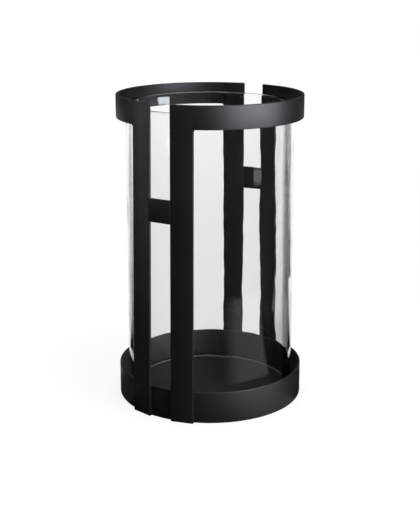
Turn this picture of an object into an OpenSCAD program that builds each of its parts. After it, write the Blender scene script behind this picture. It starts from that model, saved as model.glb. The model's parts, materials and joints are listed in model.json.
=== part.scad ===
// Hurricane candle lantern: a loose glass cylinder that stands in a welded flat-bar frame.
// The origin is on the table, under the middle of the tray, with +Z up.
// The two pairs of uprights, each joined by a crossbar, face -Y (front) and +Y (back).

/* [Frame] */
// Diameter over the outside of the two top bands
frame_d = 205; // [180:1:260]
// Height from the table to the top edge of the bands and uprights
frame_h = 340; // [280:1:450]
// Thickness of the flat bar that bands, uprights and crossbars are cut from
bar_t = 3; // [2:0.5:5]
// Height of the top bands
band_h = 25; // [15:1:40]
// Width of each upright
upright_w = 25; // [15:1:35]
// Clear gap between the two uprights of a pair, at the top bands
upright_gap = 25; // [15:1:40]
// Height of the crossbars
crossbar_h = 25; // [12:1:40]
// Depth of a crossbar's top edge below the top edge of the bands
crossbar_drop = 99; // [60:1:140]
// Radius of the weld fillet in the corner under each end of a band
fillet_r = 2; // [1:0.5:4]

/* [Tray] */
// Diameter over the outside of the tray wall
tray_d = 205; // [190:1:260]
// Height of the tray wall
tray_h = 34.5; // [20:0.5:60]
// Thickness of the tray wall
wall_t = 2; // [1:0.5:4]
// Thickness of the tray floor
floor_t = 2; // [1:0.5:5]
// Height of the floor's underside above the lower edge of the tray wall
floor_recess = 1.5; // [0.5:0.5:6]
// Width of each weld bead between an upright's foot and the tray wall
bead_w = 2.5; // [1.5:0.5:5]
// Depth of a weld bead behind the edge of the upright
bead_inset = 0.2; // [0.1:0.1:1]

/* [Foot pads] */
// Number of pads under the tray
pad_count = 4; // [3:1:8]
// Diameter of each pad
pad_d = 14; // [8:1:25]
// How far the pads stand below the tray wall
pad_reach = 0.5; // [0.3:0.1:3]
// Distance from the inside of the tray wall to the edge of a pad
pad_inset = 10; // [2:1:30]

/* [Glass] */
// Wall of the glass cylinder
glass_t = 3.5; // [2:0.5:6]
// Gap all round between the glass and the narrowest part of the frame
glass_play = 6.7; // [2:0.1:15]
// Depth of the glass rim below the top edge of the bands
glass_drop = 10; // [-20:1:60]
// Rounding of the two edges that the glass stands on
glass_foot_r = 0.8; // [0.2:0.1:0.9]

/* [Hidden] */
$fn = 128;
// Finer circle for the thin wedges beside the tray wall
wedge_fn = 256;

steel = [0.07, 0.07, 0.075];
felt = [0.16, 0.15, 0.14];
clear_glass = [0.85, 0.9, 0.9, 0.35];

// Levels, from the table up
wall_z = pad_reach;
floor_z = wall_z + floor_recess;
seat_z = floor_z + floor_t;
tray_top = wall_z + tray_h;
crossbar_top = frame_h - crossbar_drop;
band_z = frame_h - band_h;

// Distances from the axis
frame_r = frame_d / 2;
tray_r = tray_d / 2;
floor_r = tray_r - wall_t;
pad_circle_r = floor_r - pad_inset - pad_d / 2;
half_w = upright_w / 2;

// A flat upright's two edges meet the curve of the bands at the top,
// and the middle of its inner face lies on the tray wall at the foot
top_face = sqrt(pow(frame_r, 2) - pow(half_w, 2));
foot_face = tray_r + bar_t;

// Angle from the middle of a pair to the middle of one upright
upright_angle = asin(upright_gap / frame_d) + asin(upright_w / frame_d);

// The glass passes between the uprights at the top and stands inside the tray wall
glass_r = min(top_face - bar_t, floor_r) - glass_play;
glass_h = frame_h - glass_drop - seat_z;

// Larger than the frame, for cutting planes
reach = frame_d + tray_d;

// Distance from the axis to an upright's outer face, on the stretch that leans
function face_at(z) = foot_face + (top_face - foot_face) * (z - tray_top) / (band_z - tray_top);

// How far forward the outer corners beside the gap of a pair stand, at a height
function gap_corner(z) = face_at(z) * cos(upright_angle) + half_w * sin(upright_angle);

// A short tube round the axis
module ring(r, t, z, h) {
    translate([0, 0, z])
        rotate_extrude()
            translate([r - t, 0])
                square([t, h]);
}

// Carries a piece of the front right corner to any corner of the frame
module at_corner(left = false, back = false) {
    mirror([left ? 1 : 0, 0, 0])
        mirror([0, back ? 1 : 0, 0])
            children();
}

// Local frame of the front right upright: X outwards, Y along its width, away from the gap
module on_upright() {
    rotate([0, 0, upright_angle - 90])
        children();
}

// Everything past one edge of the front right upright: its far edge, or the edge at the gap
module past_far_edge() {
    on_upright()
        translate([-reach, half_w, 0])
            cube([2 * reach, reach, frame_h]);
}

module past_gap_edge() {
    on_upright()
        translate([0, -half_w - reach, 0])
            cube([reach, reach, frame_h]);
}

// Flat bar, upright beside the band and beside the tray and leaning between them,
// so that its foot laps the outside of the tray wall
module upright() {
    outer = [[top_face, frame_h], [top_face, band_z], [foot_face, tray_top], [foot_face, wall_z]];
    inner = [for (i = [len(outer) - 1:-1:0]) outer[i] - [bar_t, 0]];
    color(steel)
        on_upright()
            rotate([90, 0, 0])
                linear_extrude(height = upright_w, center = true)
                    polygon(concat(outer, inner));
}

// Flat bar that leans with the uprights, with both ends mitred to seat on their edges
module crossbar() {
    z0 = crossbar_top - crossbar_h;
    z1 = crossbar_top;
    y0 = -gap_corner(z0);
    y1 = -gap_corner(z1);
    color(steel)
        intersection() {
            rotate([90, 0, 90])
                linear_extrude(height = reach, center = true)
                    polygon([[y0, z0], [y0 + bar_t, z0], [y1 + bar_t, z1], [y1, z1]]);
            past_gap_edge();
            at_corner(left = true) past_gap_edge();
        }
}

// Rolled flat bar from the far edge of a front upright round to that of a back upright
module top_band() {
    color(steel)
        intersection() {
            ring(frame_r, bar_t, band_z, band_h);
            past_far_edge();
            at_corner(back = true) past_far_edge();
        }
}

// Concave fillet between the lower edge of a band and the edge of an upright
module band_weld() {
    intersection() {
        ring(frame_r, bar_t, band_z - fillet_r, fillet_r);
        on_upright()
            translate([0, half_w, band_z])
                rotate([90, 0, 90])
                    linear_extrude(height = reach)
                        difference() {
                            translate([0, -fillet_r])
                                square(fillet_r);
                            translate([fillet_r, -fillet_r])
                                circle(r = fillet_r);
                        }
    }
}

module band_welds() {
    color(steel)
        for (left = [false, true], back = [false, true])
            at_corner(left, back) band_weld();
}

// Beads in the two wedges that a flat foot leaves beside the round tray wall
module tray_welds() {
    wedge_depth = tray_r - sqrt(pow(tray_r, 2) - pow(half_w, 2));
    color(steel)
        for (left = [false, true], back = [false, true])
            at_corner(left, back)
                difference() {
                    on_upright()
                        for (y = [bead_inset - half_w, half_w - bead_inset - bead_w])
                            translate([tray_r - wedge_depth, y, wall_z])
                                cube([wedge_depth, bead_w, tray_h]);
                    cylinder(r = tray_r, h = frame_h, $fn = wedge_fn);
                }
}

module tray_floor() {
    color(steel)
        translate([0, 0, floor_z])
            cylinder(r = floor_r, h = floor_t);
}

module tray_wall() {
    color(steel)
        ring(tray_r, wall_t, wall_z, tray_h);
}

// Felt pads stuck to the underside of the tray floor, evenly spaced and clear of the front
module foot_pads() {
    pad_pitch = 360 / pad_count;
    color(felt)
        for (i = [0:pad_count - 1])
            rotate([0, 0, (i + 0.5) * pad_pitch - 90])
                translate([pad_circle_r, 0, 0])
                    cylinder(d = pad_d, h = floor_z);
}

// Half section of the glass wall: a fire-polished round rim, and eased edges at the foot
module glass_section() {
    rim_r = glass_t / 2;
    translate([0, glass_foot_r])
        square([glass_t, glass_h - rim_r - glass_foot_r]);
    translate([glass_foot_r, 0])
        square([glass_t - 2 * glass_foot_r, glass_foot_r]);
    for (x = [glass_foot_r, glass_t - glass_foot_r])
        translate([x, glass_foot_r])
            circle(r = glass_foot_r);
    translate([rim_r, glass_h - rim_r])
        circle(r = rim_r);
}

module glass_cylinder() {
    color(clear_glass)
        translate([0, 0, seat_z])
            rotate_extrude()
                translate([glass_r - glass_t, 0])
                    glass_section();
}

tray_floor();
tray_wall();
foot_pads();
at_corner(left = true) upright();  // upright_front_left
at_corner() upright();  // upright_front_right
at_corner(left = true, back = true) upright();  // upright_back_left
at_corner(back = true) upright();  // upright_back_right
crossbar();  // crossbar_front
at_corner(back = true) crossbar();  // crossbar_back
at_corner(left = true) top_band();  // top_band_left
top_band();  // top_band_right
tray_welds();
band_welds();
glass_cylinder();
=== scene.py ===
"""Hurricane candle lantern: a loose glass cylinder standing in a welded, powder-coated frame."""
import json
import math

import bmesh
import bpy
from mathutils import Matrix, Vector


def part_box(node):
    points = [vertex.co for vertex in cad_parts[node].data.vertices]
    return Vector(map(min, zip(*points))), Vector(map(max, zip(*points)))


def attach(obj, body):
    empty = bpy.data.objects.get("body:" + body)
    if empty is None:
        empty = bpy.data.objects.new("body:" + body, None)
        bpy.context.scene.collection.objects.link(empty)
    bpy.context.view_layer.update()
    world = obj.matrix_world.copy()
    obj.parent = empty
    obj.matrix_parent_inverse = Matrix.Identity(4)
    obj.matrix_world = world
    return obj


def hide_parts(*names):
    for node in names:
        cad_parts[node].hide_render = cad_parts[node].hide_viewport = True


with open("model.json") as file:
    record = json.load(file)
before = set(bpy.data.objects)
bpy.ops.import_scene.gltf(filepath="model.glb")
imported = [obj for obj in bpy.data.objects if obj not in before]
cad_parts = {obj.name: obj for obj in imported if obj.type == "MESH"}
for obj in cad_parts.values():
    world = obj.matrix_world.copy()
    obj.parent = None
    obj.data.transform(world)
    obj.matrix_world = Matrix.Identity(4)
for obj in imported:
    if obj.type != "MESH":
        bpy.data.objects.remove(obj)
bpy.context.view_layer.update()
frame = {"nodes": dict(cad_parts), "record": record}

# Tray wall
# A strip of mild steel rolled into a ring and welded end to end, the rim of the base tray.
# Like the whole frame it is powder coated black, and the coating rounds its cut edges.


class Wire:
    """The output of a node: sums and products of wires add Math nodes to the same tree."""

    def __init__(self, nodes, socket):
        self.nodes = nodes
        self.socket = socket

    def math(self, operation, first, second):
        return self.nodes.add("ShaderNodeMath", {"operation": operation}, {0: first, 1: second})

    def __add__(self, other):
        return self.math("ADD", self, other)

    def __radd__(self, other):
        return self.math("ADD", other, self)

    def __sub__(self, other):
        return self.math("SUBTRACT", self, other)

    def __rsub__(self, other):
        return self.math("SUBTRACT", other, self)

    def __mul__(self, other):
        return self.math("MULTIPLY", self, other)

    def __rmul__(self, other):
        return self.math("MULTIPLY", other, self)

    def __truediv__(self, other):
        return self.math("DIVIDE", self, other)

    def __rtruediv__(self, other):
        return self.math("DIVIDE", other, self)


class Nodes:
    """A shader or geometry tree that nodes are added to."""

    def __init__(self, tree):
        self.tree = tree

    def add(self, kind, settings=None, sockets=None, output=0):
        """One node: its settings first, then the values or links of its sockets."""
        node = self.tree.nodes.new(kind)
        for name, value in (settings or {}).items():
            setattr(node, name, value)
        for name, value in (sockets or {}).items():
            socket = self.pick(node.inputs, name)
            if isinstance(value, Wire):
                self.tree.links.new(value.socket, socket)
            else:
                socket.default_value = value
        return Wire(self, self.pick(node.outputs, output)) if node.outputs else None

    def given(self, label):
        """What the modifier gives to one of a geometry tree's named inputs."""
        return self.add("NodeGroupInput", output=label)

    def pick(self, sockets, key):
        """A socket in use, by its number or its name."""
        in_use = [socket for socket in sockets if socket.enabled]
        if isinstance(key, int):
            return in_use[key]
        return next(socket for socket in in_use if socket.name == key)


def new_finish(name):
    """An empty material and its nodes."""
    material = bpy.data.materials.new(name)
    material.use_nodes = True
    material.node_tree.nodes.clear()
    return material, Nodes(material.node_tree)


def noise(nodes, place, size, detail=2.0):
    """Soft noise from 0 to 1 whose lumps are about size metres across."""
    sockets = {"Vector": place, "Scale": 1 / size, "Detail": detail}
    return nodes.add("ShaderNodeTexNoise", None, sockets, "Fac")


def blend(nodes, factor, first, second):
    """A colour between two colours."""
    sockets = {"Factor": factor, "A": first, "B": second}
    return nodes.add("ShaderNodeMix", {"data_type": "RGBA"}, sockets)


def black_powder_coat():
    """Matt black polyester powder: cloudy at hand size, orange peel and fine grain up close."""
    darker = (0.0028, 0.0028, 0.0030, 1)
    lighter = (0.0045, 0.0046, 0.0050, 1)
    smoothest = 0.39
    peel_depth = 0.0002
    material, nodes = new_finish("black_powder_coat")
    place = nodes.add("ShaderNodeTexCoord", output="Object")
    cloud = noise(nodes, place, size=0.04, detail=3.0)
    peel = noise(nodes, place, size=0.0014)
    grain = noise(nodes, place, size=0.0003, detail=1.0)
    bumps = {"Strength": 0.1, "Distance": peel_depth, "Height": 0.7 * peel + 0.3 * grain}
    surface = nodes.add("ShaderNodeBsdfPrincipled", None, {
        "Base Color": blend(nodes, cloud, darker, lighter),
        "Roughness": smoothest + 0.1 * cloud + 0.08 * grain,
        "Normal": nodes.add("ShaderNodeBump", None, bumps),
        "Specular IOR Level": 0.7,
    })
    nodes.add("ShaderNodeOutputMaterial", None, {"Surface": surface})
    return material


def inner_radius(node):
    """How near the solid of a round CAD node comes to the lantern's axis."""
    return min(vertex.co.to_2d().length for vertex in frame["nodes"][node].data.vertices)


def wall_outline(thickness, bottom, top, low_r, high_r, longest_side=math.inf):
    """Section of an upright wall: x across its thickness, y its height, corners rounded."""
    corner_steps = 5
    same_point = 1e-6
    half = thickness / 2
    corners = (
        (half - low_r, bottom + low_r, low_r, -90),
        (half - high_r, top - high_r, high_r, 0),
        (high_r - half, top - high_r, high_r, 90),
        (low_r - half, bottom + low_r, low_r, 180),
    )
    outline = []
    for x, y, r, first_angle in corners:
        for step in range(corner_steps + 1):
            angle = math.radians(first_angle + 90 * step / corner_steps)
            corner_point = Vector((x + r * math.cos(angle), y + r * math.sin(angle), 0))
            if not outline or (corner_point - outline[-1]).length > same_point:
                outline.append(corner_point)
    divided = []
    for start, end in zip(outline, outline[1:] + outline[:1]):
        parts = max(1, math.ceil((end - start).length / longest_side))
        divided += [start.lerp(end, part / parts) for part in range(parts)]
    mesh = bpy.data.meshes.new("wall_outline")
    edges = [(i, (i + 1) % len(divided)) for i in range(len(divided))]
    mesh.from_pydata(divided, edges, [])
    return mesh


def new_tree(name, start, inputs):
    """A geometry tree with a name for the mesh it starts from, named sizes, and one output."""
    tree = bpy.data.node_groups.new(name, "GeometryNodeTree")
    tree.interface.new_socket(start, in_out="INPUT", socket_type="NodeSocketGeometry")
    for label, kind in inputs.items():
        tree.interface.new_socket(label, in_out="INPUT", socket_type="NodeSocket" + kind)
    tree.interface.new_socket("Piece", in_out="OUTPUT", socket_type="NodeSocketGeometry")
    return Nodes(tree)


def circle_path(nodes):
    """A level circle to sweep along."""
    return nodes.add("GeometryNodeCurvePrimitiveCircle", {"mode": "RADIUS"}, {
        "Resolution": nodes.given("Path Steps"),
        "Radius": nodes.given("Path Radius"),
    })


def sweep(nodes, path):
    """Carries the outline along a level path, with its y up."""
    half_turn = {"Geometry": nodes.given("Outline"), "Rotation": (0, 0, math.pi)}
    upright = nodes.add("GeometryNodeTransform", None, half_turn)
    section = nodes.add("GeometryNodeMeshToCurve", None, {"Mesh": upright})
    level = nodes.add("GeometryNodeSetCurveNormal", {"mode": "Z_UP"}, {"Curve": path})
    sockets = {"Curve": level, "Profile Curve": section, "Fill Caps": True}
    return nodes.add("GeometryNodeCurveToMesh", None, sockets)


def close_tree(nodes, geometry, material):
    """Ends a tree: real geometry, smooth shading, its material."""
    real = nodes.add("GeometryNodeRealizeInstances", None, {"Geometry": geometry})
    smooth = nodes.add("GeometryNodeSetShadeSmooth", None, {"Geometry": real})
    dressed = nodes.add("GeometryNodeSetMaterial", None, {"Geometry": smooth, "Material": material})
    nodes.add("NodeGroupOutput", None, {"Piece": dressed})


def grow(name, start, nodes, sizes):
    """Runs a tree on a starting mesh and keeps the result as one plain mesh piece."""
    piece = bpy.data.objects.new(name, start)
    bpy.context.collection.objects.link(piece)
    modifier = piece.modifiers.new(name, "NODES")
    modifier.node_group = nodes.tree
    for item in nodes.tree.interface.items_tree:
        if item.in_out == "INPUT" and item.name in sizes:
            modifier[item.identifier] = sizes[item.name]
    grown = piece.evaluated_get(bpy.context.evaluated_depsgraph_get())
    piece.data = bpy.data.meshes.new_from_object(grown)
    piece.modifiers.clear()
    solid = bmesh.new()
    solid.from_mesh(piece.data)
    bmesh.ops.recalc_face_normals(solid, faces=solid.faces)
    solid.to_mesh(piece.data)
    solid.free()
    return piece


coat = black_powder_coat()
coat_edge_r = 0.0006
wall_low, wall_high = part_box("tray_wall")
wall_r = wall_high.x
wall_t = wall_r - inner_radius("tray_wall")
hoop = new_tree("hoop", "Outline", {"Path Radius": "Float", "Path Steps": "Int"})
close_tree(hoop, sweep(hoop, circle_path(hoop)), coat)
tray_wall = grow(
    "tray_wall_skin",
    wall_outline(wall_t, wall_low.z, wall_high.z, coat_edge_r, coat_edge_r),
    hoop,
    {"Path Radius": wall_r - wall_t / 2, "Path Steps": 200},
)
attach(tray_wall, "frame")
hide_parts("tray_wall")

# Tray floor
# A disc cut from steel sheet and welded into the ring a little above its lower edge.
# The glass and the candle stand on it.


def coated(name, node, edge_r):
    """A copy of a CAD solid whose cut edges are rounded by its coating."""
    same_point = 1e-6
    flat_angle = math.radians(0.3)
    cut_edge_angle = math.radians(30)
    solid = bmesh.new()
    solid.from_mesh(frame["nodes"][node].data)
    bmesh.ops.remove_doubles(solid, verts=solid.verts, dist=same_point)
    bmesh.ops.dissolve_limit(solid, angle_limit=flat_angle, verts=solid.verts, edges=solid.edges)
    mesh = bpy.data.meshes.new(name)
    solid.to_mesh(mesh)
    solid.free()
    mesh.shade_smooth()
    mesh.materials.clear()
    mesh.materials.append(coat)
    piece = bpy.data.objects.new(name, mesh)
    bpy.context.collection.objects.link(piece)
    rounding = piece.modifiers.new("coating", "BEVEL")
    rounding.width = edge_r
    rounding.segments = 4
    rounding.limit_method = "ANGLE"
    rounding.angle_limit = cut_edge_angle
    rounding.harden_normals = True
    rounded = piece.evaluated_get(bpy.context.evaluated_depsgraph_get())
    piece.data = bpy.data.meshes.new_from_object(rounded)
    piece.modifiers.clear()
    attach(piece, "frame")
    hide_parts(node)


sheet_edge_r = 0.0004
coated("tray_floor_skin", "tray_floor", sheet_edge_r)

# Foot pads
# Four round felt pads, punched from a sheet and stuck under the tray floor.
# They stand a little proud of the tray wall, so the steel never touches the table.


def grey_felt():
    """Pressed wool felt: mottled grey-brown with a tangle of fine fibres."""
    darker = (0.012, 0.011, 0.010, 1)
    lighter = (0.05, 0.046, 0.042, 1)
    fibre_depth = 0.0003
    material, nodes = new_finish("grey_felt")
    place = nodes.add("ShaderNodeTexCoord", output="Object")
    mottle = noise(nodes, place, size=0.003, detail=4.0)
    fibre = noise(nodes, place, size=0.0004, detail=6.0)
    bumps = {"Strength": 0.8, "Distance": fibre_depth, "Height": fibre}
    surface = nodes.add("ShaderNodeBsdfPrincipled", None, {
        "Base Color": blend(nodes, mottle, darker, lighter),
        "Roughness": 0.85 + 0.15 * fibre,
        "Normal": nodes.add("ShaderNodeBump", None, bumps),
        "Sheen Weight": 0.3,
    })
    nodes.add("ShaderNodeOutputMaterial", None, {"Surface": surface})
    return material


def ring_of_points(solid, sides, r, z):
    """Points of a mesh in a level circle round the axis."""
    angles = [2 * math.pi * side / sides for side in range(sides)]
    return [solid.verts.new((r * math.cos(angle), r * math.sin(angle), z)) for angle in angles]


def pad_disc(r, thickness, edge_r):
    """One pad: a disc with a rounded edge, in rings from its lower middle to its upper middle."""
    sides = 48
    arc_steps = 4
    solid = bmesh.new()
    rings = [ring_of_points(solid, sides, r - edge_r, 0.0)]
    for step in range(1, 2 * arc_steps + 1):
        angle = math.radians(-90 + 90 * step / arc_steps)
        arc_z = edge_r if step <= arc_steps else thickness - edge_r
        ring_r = r - edge_r + edge_r * math.cos(angle)
        rings.append(ring_of_points(solid, sides, ring_r, arc_z + edge_r * math.sin(angle)))
    for lower, upper in zip(rings, rings[1:]):
        for side in range(sides):
            following = (side + 1) % sides
            solid.faces.new((lower[side], lower[following], upper[following], upper[side]))
    solid.faces.new(rings[0][::-1])
    solid.faces.new(rings[-1])
    mesh = bpy.data.meshes.new("pad_disc")
    solid.to_mesh(mesh)
    solid.free()
    return mesh


pad_count = 4
pad_edge_r = 0.0005
pad_low, pad_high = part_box("foot_pads")
# The lantern's one mount is the middle of a pad's lower face
first_pad = Vector(frame["record"]["mounts"][0]["pos_m"])
pad_r = pad_high.x - first_pad.x
pad_t = pad_high.z - pad_low.z
pads = new_tree("pads", "Pad", {"Circle Radius": "Float", "Pad Count": "Int", "First Angle": "Float"})
pad_circle = pads.add("GeometryNodeMeshCircle", {"fill_type": "NONE"}, {
    "Vertices": pads.given("Pad Count"),
    "Radius": pads.given("Circle Radius"),
})
pad_turn = pads.add("ShaderNodeCombineXYZ", None, {"Z": pads.given("First Angle")})
pad_places = pads.add("GeometryNodeTransform", None, {"Geometry": pad_circle, "Rotation": pad_turn})
pad_sockets = {"Points": pad_places, "Instance": pads.given("Pad")}
close_tree(pads, pads.add("GeometryNodeInstanceOnPoints", None, pad_sockets), grey_felt())
foot_pads = grow(
    "foot_pads_felt",
    pad_disc(pad_r, pad_t, pad_edge_r),
    pads,
    {
        "Circle Radius": first_pad.to_2d().length,
        "Pad Count": pad_count,
        "First Angle": math.atan2(first_pad.y, first_pad.x),
    },
)
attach(foot_pads, "frame")
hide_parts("foot_pads")

# Uprights
# Four straight flat bars, welded edge to edge with the top bands and lapped over the tray wall.
# Each leans out a little from top to foot.

for corner in ("front_left", "front_right", "back_left", "back_right"):
    coated("upright_skin_" + corner, "upright_" + corner, coat_edge_r)

# Crossbars
# A short flat bar between the two uprights of each pair, its ends mitred to their edges.
# The welds are ground flush and hidden by the coating.

for side in ("front", "back"):
    coated("crossbar_skin_" + side, "crossbar_" + side, coat_edge_r)

# Top bands
# Two flat bars rolled to half rings, whose cut ends meet the far edges of the uprights.
# Together they make the rim of the lantern, open between the uprights of each pair.

band_low, band_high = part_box("top_band_right")
band_r = band_high.x
band_t = band_r - inner_radius("top_band_right")
# The swept ends run this far into the welds at the uprights
band_weld_depth = 0.0004
band_half = math.asin(band_high.y / band_r) + band_weld_depth / band_r
bow = new_tree("bow", "Outline", {
    "Path Radius": "Float",
    "Path Steps": "Int",
    "Start Angle": "Float",
    "Sweep Angle": "Float",
})
bow_path = bow.add("GeometryNodeCurveArc", {"mode": "RADIUS"}, {
    "Resolution": bow.given("Path Steps"),
    "Radius": bow.given("Path Radius"),
    "Start Angle": bow.given("Start Angle"),
    "Sweep Angle": bow.given("Sweep Angle"),
})
close_tree(bow, sweep(bow, bow_path), coat)
for side, middle in (("right", 0.0), ("left", math.pi)):
    band = grow(
        "top_band_skin_" + side,
        wall_outline(band_t, band_low.z, band_high.z, coat_edge_r, coat_edge_r),
        bow,
        {
            "Path Radius": band_r - band_t / 2,
            "Path Steps": 120,
            "Start Angle": middle - band_half,
            "Sweep Angle": 2 * band_half,
        },
    )
    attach(band, "frame")
    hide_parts("top_band_" + side)

# Welds
# Fillets left in the corners under the ends of the bands, and beads in the wedges between
# the flat feet of the uprights and the round tray wall, all under the same coating.

for weld in ("band_welds", "tray_welds"):
    for weld_slot in frame["nodes"][weld].material_slots:
        weld_slot.material = coat

# Glass cylinder
# A blown tube of clear soda glass with a fire-polished rim and a ground foot, open at both ends.
# It stands loose on the tray floor, and its wall is slightly wavy.

glass_low, glass_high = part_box("glass_cylinder")
glass_r = glass_high.x
glass_t = glass_r - inner_radius("glass_cylinder")
glass_middle_r = glass_r - glass_t / 2
glass_rim_r = glass_t / 2
glass_foot_r = 0.0008
glass_step = 0.003
ground_height = 0.0009


def smooth_step(nodes, value, start, end):
    """Rises softly from 0 to 1 as a value goes from start to end."""
    sockets = {"Value": value, "From Min": start, "From Max": end}
    return nodes.add("ShaderNodeMapRange", {"interpolation_type": "SMOOTHSTEP"}, sockets)


def clear_glass():
    """Clear glass, a little grey through its depth, with faint smears on it and painted shade down its
    edges and near its foot.
    """
    smeared = (0.992, 0.994, 0.994, 1)
    clean = (1.0, 1.0, 1.0, 1)
    painted_shade_black = (0.0, 0.0, 0.0, 1)
    depth_grey = (0.52, 0.53, 0.53, 1)
    smear_roughness = 0.01
    ground_roughness = 0.5
    material, nodes = new_finish("clear_glass")
    place = nodes.add("ShaderNodeTexCoord", output="Object")
    height = nodes.add("ShaderNodeSeparateXYZ", None, {"Vector": place}, "Z")
    smear = noise(nodes, place, size=0.05, detail=3.0)
    across = nodes.add("ShaderNodeVectorMath", {"operation": "MULTIPLY"}, {0: place, 1: (1, 1, 0)})
    radius = nodes.add("ShaderNodeVectorMath", {"operation": "LENGTH"}, {0: across}, "Value")
    outside = nodes.add("ShaderNodeMath", {"operation": "GREATER_THAN"}, {0: radius, 1: glass_middle_r})
    ground_sockets = {0: height, 1: glass_low.z + ground_height}
    ground = nodes.add("ShaderNodeMath", {"operation": "LESS_THAN"}, ground_sockets)

    # Slant of the outer face to the viewer: 0 face on, 1 edge on, a little more on the side to the camera's
    # right, where the painted edge shade is darker
    camera_right_sockets = {0: place, 1: (9.4, 5.5, 0)}
    camera_right = nodes.add("ShaderNodeVectorMath", {"operation": "DOT_PRODUCT"}, camera_right_sockets, "Value")
    slant = nodes.add("ShaderNodeLayerWeight", None, {"Blend": 0.5}, "Facing") + 0.045 * camera_right

    # Painted shade: a dark streak down each edge stands in for dark surroundings seen through the glass,
    # wider towards the foot, where a broad painted shade joins it
    painted_streak_inside = smooth_step(nodes, slant, start=0.545, end=0.645)
    painted_streak_outside = smooth_step(nodes, slant + 0.7 * height, start=0.845, end=0.945)
    painted_streak_depth = 0.77 + 0.2 * noise(nodes, place, size=0.05, detail=1.0)
    painted_edge_streak = painted_streak_inside * (1 - painted_streak_outside) * painted_streak_depth
    painted_foot_shade_sockets = {"Value": height, "From Min": 0.08, "From Max": 0.22, "To Min": 0.42, "To Max": 0.0}
    painted_foot_shade_depth = nodes.add("ShaderNodeMapRange", None, painted_foot_shade_sockets)
    painted_foot_shade = painted_foot_shade_depth * smooth_step(nodes, slant, start=0.36, end=0.48)
    painted_glass_shade = nodes.add("ShaderNodeMath", {"operation": "MAXIMUM"}, {0: painted_edge_streak, 1: painted_foot_shade})

    # The painted shade darkens the colour of the outer face towards black
    surface = nodes.add("ShaderNodeBsdfPrincipled", None, {
        "Base Color": blend(nodes, painted_glass_shade * outside, blend(nodes, smear, smeared, clean), painted_shade_black),
        "Roughness": smear_roughness * smear + ground_roughness * ground,
        "IOR": 1.47,
        "Transmission Weight": 1.0,
    })
    depth = nodes.add("ShaderNodeVolumeAbsorption", None, {"Color": depth_grey, "Density": 2.0})
    nodes.add("ShaderNodeOutputMaterial", None, {"Surface": surface, "Volume": depth})
    return material


blown = new_tree("blown", "Outline", {
    "Path Radius": "Float",
    "Path Steps": "Int",
    "Sway": "Float",
    "Sway Length": "Float",
    "Ripple": "Float",
    "Ripple Length": "Float",
    "Seed": "Float",
})
blown_tube = sweep(blown, circle_path(blown))
wall_point = blown.add("GeometryNodeInputPosition")
flat_point = blown.add("ShaderNodeVectorMath", {"operation": "MULTIPLY"}, {0: wall_point, 1: (1, 1, 0)})
outward = blown.add("ShaderNodeVectorMath", {"operation": "NORMALIZE"}, {0: flat_point})
wall_distance = blown.add("ShaderNodeVectorMath", {"operation": "LENGTH"}, {0: flat_point}, "Value")
off_middle = wall_distance - blown.given("Path Radius")
wall_face = blown.add("ShaderNodeMath", {"operation": "SIGN"}, {0: off_middle})


def unevenness(length, seed_shift, detail):
    """Noise from -1 to 1 over the wall, drawn out along its height."""
    drawn_sockets = {0: wall_point, 1: (1, 1, 0.6)}
    sockets = {
        "Vector": blown.add("ShaderNodeVectorMath", {"operation": "MULTIPLY"}, drawn_sockets),
        "W": blown.given("Seed") + seed_shift,
        "Scale": 1.0 / blown.given(length),
        "Detail": detail,
    }
    return 2 * blown.add("ShaderNodeTexNoise", {"noise_dimensions": "4D"}, sockets, "Fac") - 1


sway = blown.given("Sway") * unevenness("Sway Length", seed_shift=0.0, detail=1.0)
ripple = blown.given("Ripple") * unevenness("Ripple Length", seed_shift=7.0, detail=2.0) * wall_face
drift_sockets = {"Vector": outward, "Scale": sway + ripple}
drift = blown.add("ShaderNodeVectorMath", {"operation": "SCALE"}, drift_sockets)
blown_wall = blown.add("GeometryNodeSetPosition", None, {"Geometry": blown_tube, "Offset": drift})
close_tree(blown, blown_wall, clear_glass())
glass = grow(
    "glass_cylinder_blown",
    wall_outline(glass_t, glass_low.z, glass_high.z, glass_foot_r, glass_rim_r, glass_step),
    blown,
    {
        "Path Radius": glass_middle_r,
        "Path Steps": 256,
        "Sway": 0.0008,
        "Sway Length": 0.06,
        "Ripple": 0.00009,
        "Ripple Length": 0.018,
        "Seed": 3.0,
    },
)
glass.visible_shadow = False
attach(glass, "glass")
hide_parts("glass_cylinder")

# Studio floor
# A wide sheet of pale matt board, laid flat under the lantern.
# It looks nearly white, with painted shade that makes it a little greyer near the lantern and more so
# through the glass, and takes its shadow.

floor_half = 4.0
floor_mesh = bpy.data.meshes.new("studio_floor")
floor_corners = [(x * floor_half, y * floor_half, 0) for x, y in ((-1, -1), (1, -1), (1, 1), (-1, 1))]
floor_mesh.from_pydata(floor_corners, [], [(0, 1, 2, 3)])
studio_floor = bpy.data.objects.new("studio_floor", floor_mesh)
bpy.context.collection.objects.link(studio_floor)


def seen_directly(nodes):
    """1 for rays that come straight from the camera, off metal or through glass, else 0."""
    camera_ray, glossy_ray, glass_ray = (
        nodes.add("ShaderNodeLightPath", output=ray)
        for ray in ("Is Camera Ray", "Is Glossy Ray", "Is Transmission Ray")
    )
    sockets = {0: camera_ray + glossy_ray, 1: glass_ray}
    return nodes.add("ShaderNodeMath", {"operation": "ADD", "use_clamp": True}, sockets)


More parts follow.
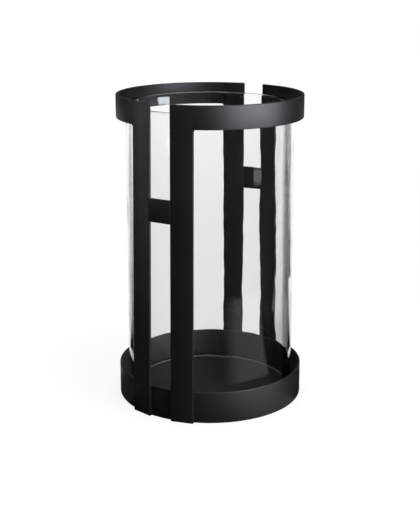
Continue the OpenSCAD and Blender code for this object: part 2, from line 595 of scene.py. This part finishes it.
floor_colour = (0.2, 0.2, 0.2, 1)
floor_white = 0.95
floor_painted_shade = 0.11
glass_painted_shade = 0.12
painted_shade_from, painted_shade_to = 0.2, 2.0
floor_paint, floor_nodes = new_finish("floor_paint")
matt = floor_nodes.add("ShaderNodeBsdfDiffuse", None, {"Color": floor_colour})
floor_place = floor_nodes.add("ShaderNodeTexCoord", output="Object")
floor_r = floor_nodes.add("ShaderNodeVectorMath", {"operation": "LENGTH"}, {0: floor_place}, "Value")
away_sockets = {"Value": floor_r, "From Min": painted_shade_from, "From Max": painted_shade_to}
away = floor_nodes.add("ShaderNodeMapRange", None, away_sockets)
through_glass = floor_nodes.add("ShaderNodeLightPath", output="Is Transmission Ray")
# Painted shade: the floor's glow is lowered near the lantern, and more where it is seen through the glass
grey = (floor_painted_shade + glass_painted_shade * through_glass) * (1 - away)
glow_level = (floor_white - grey) * seen_directly(floor_nodes)
glow = floor_nodes.add("ShaderNodeEmission", None, {"Strength": glow_level})
floor_surface = floor_nodes.add("ShaderNodeAddShader", None, {0: matt, 1: glow})
floor_nodes.add("ShaderNodeOutputMaterial", None, {"Surface": floor_surface})
floor_mesh.materials.append(floor_paint)

# Backdrop
# White paper all round, far from the lantern.
# It shows as white and lights the lantern only softly.

fill_level = 0.4
world = bpy.data.worlds.new("studio")
bpy.context.scene.world = world
world.use_nodes = True
world.node_tree.nodes.clear()
world_nodes = Nodes(world.node_tree)
backdrop = world_nodes.add("ShaderNodeBackground", None, {
    "Color": (1, 1, 1, 1),
    "Strength": fill_level + (1 - fill_level) * seen_directly(world_nodes),
})
world_nodes.add("ShaderNodeOutputWorld", None, {"Surface": backdrop})

# Black cloth
# Cloth laid on the floor round the lantern and hung at the far walls, so that black steel and glass
# have something dark to reflect. It is open behind the lantern, thin in a few places, and
# only reflections see it.


def cloth_finish(name, cover):
    """Black cloth that only reflections see, and that hides a share of the floor from them."""
    material, nodes = new_finish(name)
    bounces = nodes.add("ShaderNodeLightPath", output="Glossy Depth")
    reflected = nodes.add("ShaderNodeMath", {"operation": "MINIMUM"}, {0: bounces, 1: 1.0})
    open_air = nodes.add("ShaderNodeBsdfTransparent")
    black = nodes.add("ShaderNodeBsdfDiffuse", None, {"Color": (0.002, 0.002, 0.002, 1)})
    surface = nodes.add("ShaderNodeMixShader", None, {0: cover * reflected, 1: open_air, 2: black})
    nodes.add("ShaderNodeOutputMaterial", None, {"Surface": surface})
    return material


# Hems of the cloth from the lantern outwards: radius and height
cloth_hems = ((0.095, 0.0005), (0.19, 0.0005), (0.5, 0.0005), (2.2, 0.0005), (2.6, 2.6))
# Where it is open or thin: strip, first and last bearing in degrees from +X, cover
cloth_openings = (
    (0, 58, 195, 0.0),
    (1, 72, 170, 0.0),
    (2, 85, 170, 0.0),
    (0, 318, 321, 0.95),
    (0, 321, 324, 0.91),
    (0, 324, 327, 0.87),
    (0, 327, 330, 0.82),
    (0, 330, 333, 0.78),
    (0, 333, 370, 0.74),
    (1, 318, 321, 0.95),
    (1, 321, 324, 0.88),
    (1, 324, 327, 0.8),
    (1, 327, 330, 0.72),
    (1, 330, 333, 0.64),
    (1, 333, 370, 0.56),
    (0, 200, 236, 0.93),
)
cloth_sides = 120


def cloth_cover(strip, bearing):
    """How much the cloth covers at a place: 1 is black, 0 is open."""
    cover = 1.0
    for opening_strip, first, last, opening_cover in cloth_openings:
        if strip == opening_strip and (bearing - first) % 360 < last - first:
            cover = opening_cover
    return cover


covers = [1.0] + sorted({cover for strip, first, last, cover in cloth_openings if cover})
cloth = bmesh.new()
hems = [ring_of_points(cloth, cloth_sides, r, z) for r, z in cloth_hems]
for strip, (inner, outer) in enumerate(zip(hems, hems[1:])):
    for side in range(cloth_sides):
        following = (side + 1) % cloth_sides
        patch_cover = cloth_cover(strip, 360 * (side + 0.5) / cloth_sides)
        if patch_cover:
            patch = cloth.faces.new((inner[side], outer[side], outer[following], inner[following]))
            patch.material_index = covers.index(patch_cover)
cloth_mesh = bpy.data.meshes.new("black_cloth")
cloth.to_mesh(cloth_mesh)
cloth.free()
black_cloth = bpy.data.objects.new("black_cloth", cloth_mesh)
bpy.context.collection.objects.link(black_cloth)
for cover in covers:
    cloth_mesh.materials.append(cloth_finish("cloth_%d" % (100 * cover), cover))
black_cloth.visible_camera = False
black_cloth.visible_diffuse = False
black_cloth.visible_shadow = False

# Softboxes
# Three cool softboxes and a small dim one on the right of the camera, two white ones on its left, and
# a large one overhead. All point at the lantern's middle, and all but the overhead one have a grid.
# Flags keep the light of the two larger cool ones off the glass.

view_turn = math.radians(30.5)
lamp_aim = Vector((0, 0, 0.17))
# What the lamps behind a flag don't reach
glass_flag = bpy.data.collections.new("glass_flag")
glass_flag.objects.link(glass)
glass_flag.collection_objects[0].light_linking.link_state = "EXCLUDE"


def softbox(name, turn, distance, height, size, radiance, colour, spread=90, in_glass=False, flagged=False):
    """An even light, its turn in degrees to the right of the camera, its size as width and height."""
    light = bpy.data.lights.new(name, "AREA")
    light.shape = "RECTANGLE"
    light.size, light.size_y = size
    light.spread = math.radians(spread)
    # The share of its light that a grid lets out, so that the lamp looks equally bright with any grid
    half = light.spread / 2
    share = math.sin(half) ** 2 - (half - math.sin(half) * math.cos(half)) / math.tan(half)
    light.energy = radiance * math.pi * light.size * light.size_y * share
    light.color = colour
    lamp = bpy.data.objects.new(name, light)
    bpy.context.collection.objects.link(lamp)
    angle = view_turn + math.radians(turn)
    lamp.location = (distance * math.sin(angle), -distance * math.cos(angle), height)
    lamp.rotation_euler = (lamp_aim - lamp.location).to_track_quat("-Z", "Y").to_euler()
    lamp.visible_camera = False
    lamp.visible_transmission = in_glass
    if flagged:
        lamp.light_linking.receiver_collection = glass_flag


cool_white = (0.86, 0.92, 1.0)
white = (1.0, 1.0, 1.0)
softbox("right_near_camera", turn=32, distance=1.2, height=0.365,
        size=(0.5, 0.27), radiance=16.5, colour=cool_white, flagged=True)
softbox("right_middle", turn=54, distance=1.2, height=0.365,
        size=(0.5, 0.27), radiance=22.5, colour=cool_white, flagged=True)
softbox("right_far", turn=73.5, distance=1.2, height=0.254,
        size=(0.36, 0.20), radiance=16.8, colour=cool_white, in_glass=True)
softbox("right_glint", turn=64, distance=0.9, height=0.094,
        size=(0.19, 0.026), radiance=1.7, colour=cool_white, in_glass=True)
softbox("left", turn=-87, distance=1.1, height=0.26,
        size=(0.35, 0.18), radiance=4.8, colour=white)
softbox("front_left", turn=-35, distance=1.2, height=0.75,
        size=(0.4, 0.4), radiance=1.4, colour=white)
softbox("overhead", turn=0, distance=0.0, height=1.9,
        size=(1.6, 1.6), radiance=1.2, colour=white, spread=180)

# Camera
# A long lens a little over a metre away, to the right of the lantern's front.
# It looks down on the rim and into the tray.

view_distance = 1.199
view_height = 0.491
view_tilt = math.radians(12.65)
camera_data = bpy.data.cameras.new("camera")
camera_data.sensor_width = 36.0
camera_data.lens = 78.2
camera_data.shift_y = -0.11
camera = bpy.data.objects.new("camera", camera_data)
bpy.context.collection.objects.link(camera)
camera.location = (
    view_distance * math.sin(view_turn),
    -view_distance * math.cos(view_turn),
    view_height,
)
camera.rotation_euler = (math.pi / 2 - view_tilt, 0, view_turn)
bpy.context.scene.camera = camera
bpy.context.scene.view_settings.view_transform = "Standard"
